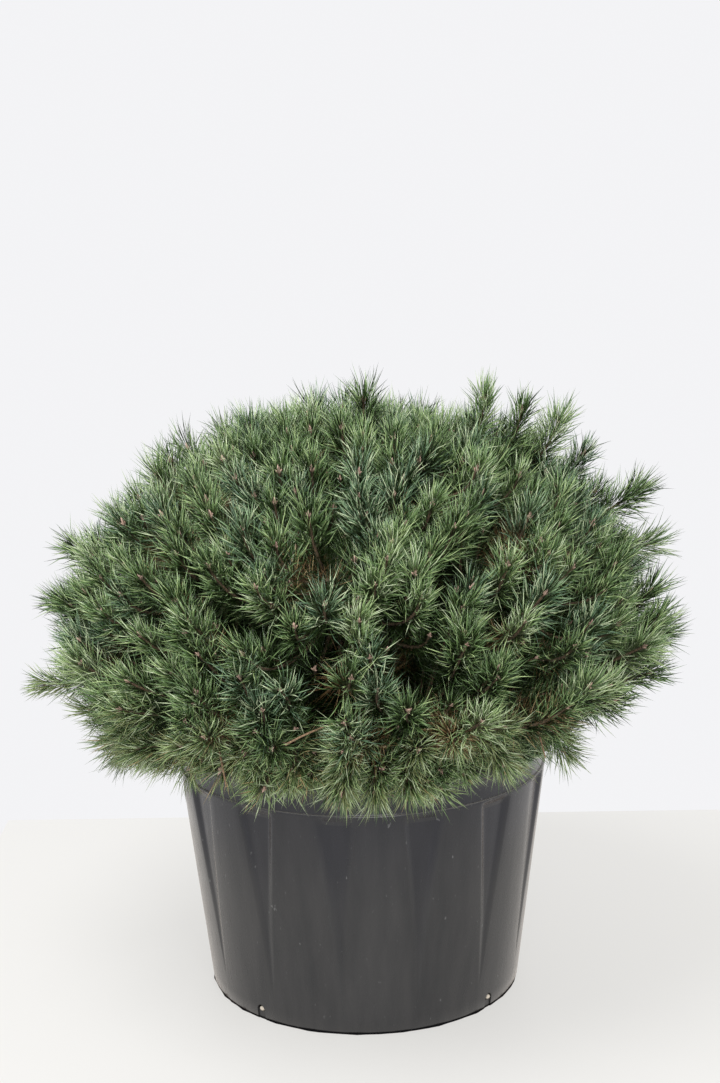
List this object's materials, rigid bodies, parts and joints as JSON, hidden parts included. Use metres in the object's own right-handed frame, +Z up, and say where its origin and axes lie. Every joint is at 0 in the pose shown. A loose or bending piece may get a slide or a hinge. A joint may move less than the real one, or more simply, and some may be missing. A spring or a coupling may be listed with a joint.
{
  "type": "potted watereri scots pine",
  "caption": "Broad, dense dwarf scots pine with blue-green needles, growing in a large round fluted nursery pot that stands on its flat underside.",
  "frame": {"origin": "centre of the pot's flat underside", "axes": "+Z up, with the plant's front facing -Y"},
  "size_m": [1.227, 1.1797, 1.15],
  "materials": {
    "pot_plastic": "black nursery plastic, matte to satin, with fine scuffs",
    "potting_soil": "dark crumbly potting mix",
    "bark": "rough grey-brown bark, flaking, more orange on the younger wood",
    "needles": "dense paired needles, blue-green to mid green, lighter at the shoot tips"
  },
  "bodies": {
    "root": {"bough_middle_1": "bark", "bough_middle_2": "bark", "bough_middle_3": "bark", "bough_middle_4": "bark", "bough_middle_5": "bark", "bough_middle_6": "bark", "bough_skirt_1": "bark", "bough_skirt_2": "bark", "bough_skirt_3": "bark", "bough_skirt_4": "bark", "bough_skirt_5": "bark", "bough_skirt_6": "bark", "bough_skirt_7": "bark", "bough_upper_1": "bark", "bough_upper_2": "bark", "bough_upper_3": "bark", "bough_upper_4": "bark", "foliage_middle_1": "needles", "foliage_middle_2": "needles", "foliage_middle_3": "needles", "foliage_middle_4": "needles", "foliage_middle_5": "needles", "foliage_middle_6": "needles", "foliage_skirt_1": "needles", "foliage_skirt_2": "needles", "foliage_skirt_3": "needles", "foliage_skirt_4": "needles", "foliage_skirt_5": "needles", "foliage_skirt_6": "needles", "foliage_skirt_7": "needles", "foliage_top": "needles", "foliage_upper_1": "needles", "foliage_upper_2": "needles", "foliage_upper_3": "needles", "foliage_upper_4": "needles", "pot": "pot_plastic", "soil": "potting_soil", "trunk": "bark"}
  },
  "joints": []
}
